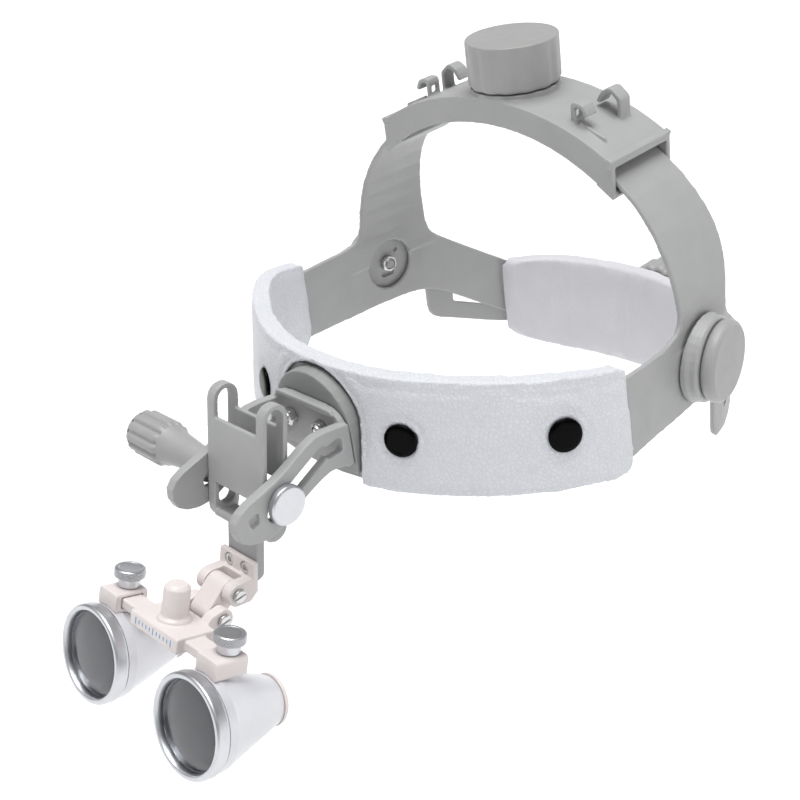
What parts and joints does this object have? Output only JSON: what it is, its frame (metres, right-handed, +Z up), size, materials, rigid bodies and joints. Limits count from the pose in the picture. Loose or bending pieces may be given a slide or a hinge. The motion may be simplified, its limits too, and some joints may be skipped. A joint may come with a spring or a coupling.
{
  "type": "dental loupes",
  "caption": "Magnifying loupes on an adjustable headband: tapered barrels hang from a folding hinge on a sliding, tilting bracket; padded brow cover, crown and rear fitting dials.",
  "frame": {"origin": "the middle of the wearer's head on the axis between the side pivots' band faces", "axes": "+X to the wearer's left, -Y forwards along the view, +Z up along the crown dial's axis"},
  "size_m": [0.1914, 0.317, 0.1825],
  "materials": {
    "band_plastic": "fine moulded grain",
    "knob_plastic": "satin moulded",
    "inner_plastic": "moulded",
    "cover_leather": "fine grain, padded",
    "pad_leather": "smooth, padded",
    "snap_black": "gloss black",
    "fastener_steel": "turned",
    "cap_silver": "satin anodised",
    "frame_cream": "satin lacquer",
    "barrel_white": "satin pearl anodised",
    "lens_glass": "coated"
  },
  "bodies": {
    "headband": {"front_band": "band_plastic", "brow_cover": "cover_leather", "snap_outer_left": "snap_black", "snap_inner_left": "snap_black", "snap_inner_right": "snap_black", "snap_outer_right": "snap_black", "mount_block": "inner_plastic", "arm_bracket": "band_plastic", "bracket_stud_left": "fastener_steel", "bracket_stud_right": "fastener_steel", "bracket_nut_left": "fastener_steel", "bracket_nut_right": "fastener_steel", "side_frame_left": "band_plastic", "side_frame_right": "band_plastic", "pivot_boss_left": "band_plastic", "pivot_boss_right": "band_plastic", "crown_housing": "band_plastic", "rear_strap_left": "band_plastic", "rear_strap_right": "band_plastic", "rear_housing": "band_plastic", "rear_pad": "pad_leather"},
    "side_dial_left": {"side_knob_left": "knob_plastic", "side_nut_left": "fastener_steel"},
    "side_dial_right": {"side_knob_right": "knob_plastic", "side_nut_right": "fastener_steel"},
    "crown_dial": {"crown_knob": "knob_plastic", "crown_pinion": "inner_plastic"},
    "rear_dial": {"rear_knob": "knob_plastic", "rear_pinion": "inner_plastic"},
    "bolt": {"cross_bolt": "fastener_steel", "bolt_cap": "cap_silver", "clamp_washer": "fastener_steel"},
    "clamp": {"clamp_knob": "knob_plastic"},
    "guide": {"slot_guide": "inner_plastic"},
    "carriage": {"carriage": "band_plastic", "hinge_block": "frame_cream", "hinge_screw_left": "fastener_steel", "hinge_screw_right": "fastener_steel", "pivot_pin_upper": "fastener_steel"},
    "link": {"hinge_link": "frame_cream", "pivot_pin_lower": "fastener_steel"},
    "bridge": {"bridge": "frame_cream"},
    "optic_left": {"pd_block_left": "frame_cream", "barrel_left": "barrel_white", "objective_ring_left": "cap_silver", "objective_lens_left": "lens_glass", "eyepiece_ring_left": "frame_cream", "eyepiece_lens_left": "lens_glass"},
    "optic_right": {"pd_block_right": "frame_cream", "barrel_right": "barrel_white", "objective_ring_right": "cap_silver", "objective_lens_right": "lens_glass", "eyepiece_ring_right": "frame_cream", "eyepiece_lens_right": "lens_glass"},
    "thumb_left": {"thumb_screw_left": "cap_silver"},
    "thumb_right": {"thumb_screw_right": "cap_silver"}
  },
  "joints": [
    {"name": "side_dial_left_turn", "type": "hinge", "parent": "headband", "child": "side_dial_left", "pos_m": [0.0813, 0, 0], "axis": [0.9848, 0.1736, 0], "continuous": true},
    {"name": "side_dial_right_turn", "type": "hinge", "parent": "headband", "child": "side_dial_right", "pos_m": [-0.0813, 0, 0], "axis": [-0.9848, 0.1736, 0], "continuous": true},
    {"name": "crown_dial_turn", "type": "hinge", "parent": "headband", "child": "crown_dial", "pos_m": [0, 0.0036, 0.1], "axis": [0, 0, 1], "continuous": true},
    {"name": "rear_dial_turn", "type": "hinge", "parent": "headband", "child": "rear_dial", "pos_m": [0, 0.094, -0.037], "axis": [0, 1, 0], "continuous": true},
    {"name": "bolt_slide", "type": "slide", "parent": "headband", "child": "bolt", "axis": [0, -0.9171, -0.3987], "range_m": [-0.01, 0.004]},
    {"name": "clamp_turn", "type": "hinge", "parent": "bolt", "child": "clamp", "pos_m": [-0.04, -0.1489, -0.0035], "axis": [1, 0, 0], "continuous": true},
    {"name": "carriage_tilt", "type": "hinge", "parent": "bolt", "child": "guide", "pos_m": [0, -0.1489, -0.0035], "axis": [1, 0, 0], "range_deg": [-15, 15]},
    {"name": "carriage_height", "type": "slide", "parent": "guide", "child": "carriage", "axis": [0, 0.225, 0.9744], "range_m": [-0.025, 0.0055]},
    {"name": "link_fold", "type": "hinge", "parent": "carriage", "child": "link", "pos_m": [0, -0.1679, -0.0352], "axis": [1, 0, 0], "range_deg": [-15, 20]},
    {"name": "bridge_fold", "type": "hinge", "parent": "link", "child": "bridge", "pos_m": [0, -0.1759, -0.0408], "axis": [1, 0, 0], "range_deg": [-20, 15]},
    {"name": "eye_spacing_left", "type": "slide", "parent": "bridge", "child": "optic_left", "axis": [1, 0, 0], "range_m": [0, 0.005]},
    {"name": "thumb_turn_left", "type": "hinge", "parent": "optic_left", "child": "thumb_left", "pos_m": [0.0286, -0.18641, -0.03226], "axis": [0, 0.3665, 0.9304], "continuous": true},
    {"name": "eye_spacing_right", "type": "slide", "parent": "bridge", "child": "optic_right", "axis": [-1, 0, 0], "range_m": [0, 0.005]},
    {"name": "thumb_turn_right", "type": "hinge", "parent": "optic_right", "child": "thumb_right", "pos_m": [-0.0286, -0.18641, -0.03226], "axis": [0, 0.3665, 0.9304], "continuous": true}
  ]
}
